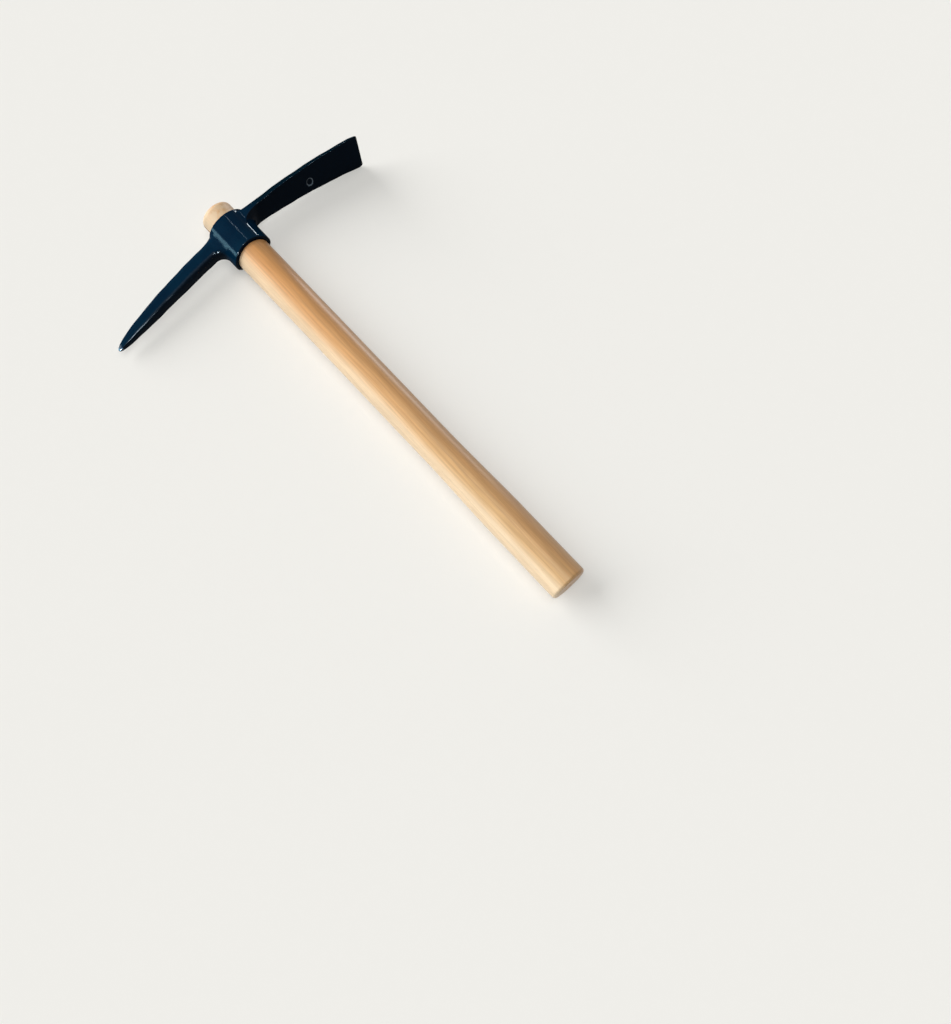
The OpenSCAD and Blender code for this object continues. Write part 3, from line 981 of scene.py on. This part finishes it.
def flat_floor(scene, stage):
    """A flat round floor: rings about the middle, each some times as wide as the one inside it."""
    rings = stage.floor_radius / FLOOR_GROWTH ** np.arange(FLOOR_RINGS)[::-1]
    radius = column(np.append(0, rings))
    turn = np.linspace(0, 2 * math.pi, FLOOR_SIDES, endpoint=False)
    grid = np.stack([radius * np.cos(turn), radius * np.sin(turn), 0 * radius * turn], -1)
    mesh = bpy.data.meshes.new("pale_floor")
    mesh.from_pydata(grid.reshape(-1, 3), [], grid_faces(*grid.shape[:2]).tolist())
    mesh.materials.append(pale_floor(stage))
    floor = bpy.data.objects.new("pale_floor", mesh)
    scene.collection.objects.link(floor)
    return floor


def hang(scene, name, lamp, place, aim):
    """Puts a lamp at a place, turned to shine at its aim."""
    holder = bpy.data.objects.new(name, lamp)
    holder.location = place
    holder.rotation_euler = (Vector(place) - aim).to_track_quat("Z", "Y").to_euler()
    scene.collection.objects.link(holder)
    return holder


def soft_sun(scene, name, direction, width, strength):
    """A far lamp that shines evenly from a direction, as wide as that many degrees."""
    lamp = bpy.data.lights.new(name, "SUN")
    lamp.angle, lamp.energy = math.radians(width), strength
    return hang(scene, name, lamp, direction, Vector())


def gloss_alone(holder, piece):
    """Lets a lamp show in the gloss of one piece and nowhere else."""
    holder.visible_camera = False
    holder.visible_diffuse = False
    shown = bpy.data.collections.new(holder.name + "_piece")
    shown.objects.link(piece)
    holder.light_linking.receiver_collection = shown


def glint_panel(scene, piece, name, place, size, radiance, tint):
    """A bright panel of that width and height, turned to a piece, that shows in its gloss alone."""
    lamp = bpy.data.lights.new(name, "AREA")
    lamp.shape, lamp.size, lamp.size_y = "RECTANGLE", *size
    lamp.energy, lamp.color = radiance * math.pi * size[0] * size[1], tint
    corners = [Vector(corner) for corner in piece.bound_box]
    gloss_alone(hang(scene, name, lamp, place, sum(corners, Vector()) / len(corners)), piece)


def pale_world(scene, stage):
    """Even light all round. Camera, mirror and glass rays see the pale backdrop instead."""
    scene.world = scene.world or bpy.data.worlds.new("studio")
    air = Nodes(scene.world)
    light = air.add("ShaderNodeBackground", {"Color": WHITE, "Strength": stage.ambient}).outputs[0]
    backdrop = air.add("ShaderNodeBackground", {"Color": stage.backdrop}).outputs[0]
    both = air.add("ShaderNodeMixShader", {0: air.seen(), 1: light, 2: backdrop}).outputs[0]
    air.add("ShaderNodeOutputWorld", {"Surface": both})


def photo_camera(scene, stage):
    """The camera that took the photograph."""
    camera = bpy.data.cameras.new("photo_camera")
    camera.lens, camera.sensor_width = stage.lens, stage.sensor
    camera.clip_start, camera.clip_end = CLIP_START, CLIP_END
    holder = bpy.data.objects.new("photo_camera", camera)
    holder.location = stage.camera_place
    holder.rotation_euler = stage.camera_turn
    scene.collection.objects.link(holder)
    return holder


class PICKAXE_OT_stage(bpy.types.Operator):
    """Set up the pale floor, the lamps and the camera"""

    bl_idname = "pickaxe.stage"
    bl_label = "Set stage"

    def execute(self, context):
        scene = context.scene
        stage = scene.pickaxe_stage
        floor = flat_floor(scene, stage)
        key = soft_sun(scene, "key", KEY_DIRECTION, KEY_WIDTH, KEY_STRENGTH)
        key.visible_glossy = False
        sheen = soft_sun(scene, "key_sheen", KEY_DIRECTION, KEY_WIDTH, SHEEN_STRENGTH)
        gloss_alone(sheen, bpy.data.objects["turned_handle"])
        soft_sun(scene, "overhead", OVERHEAD_DIRECTION, OVERHEAD_WIDTH, OVERHEAD_STRENGTH)
        for piece, *glint in GLINTS:
            glint_panel(scene, bpy.data.objects[piece], *glint)
        pale_world(scene, stage)
        scene.camera = photo_camera(scene, stage)
        scene.view_settings.view_transform = "Standard"
        return {"FINISHED"}


class PICKAXE_PT_panel(bpy.types.Panel):
    """Lists the steps that build the pick axe"""

    bl_idname = "PICKAXE_PT_panel"
    bl_label = "Pick axe"
    bl_space_type = "VIEW_3D"
    bl_region_type = "UI"
    bl_category = "Pick axe"

    def draw(self, context):
        for operator in OPERATORS:
            self.layout.operator(operator.bl_idname)


OPERATORS = (PICKAXE_OT_head, PICKAXE_OT_handle, PICKAXE_OT_wedges, PICKAXE_OT_stage)
CLASSES = (*SETTINGS.values(), *OPERATORS, PICKAXE_PT_panel)


def register():
    """Registers the classes and hangs the settings on the scene."""
    for cls in CLASSES:
        bpy.utils.register_class(cls)
    for name, group in SETTINGS.items():
        setattr(bpy.types.Scene, name, PointerProperty(type=group))


def unregister():
    """Takes the settings and the classes away again."""
    for name in SETTINGS:
        delattr(bpy.types.Scene, name)
    for cls in reversed(CLASSES):
        bpy.utils.unregister_class(cls)


def main():
    """Builds the dressed part on its stage."""
    register()
    bpy.ops.pickaxe.head()
    bpy.ops.pickaxe.handle()
    bpy.ops.pickaxe.wedges()
    bpy.ops.pickaxe.stage()


if __name__ == "__main__":
    main()
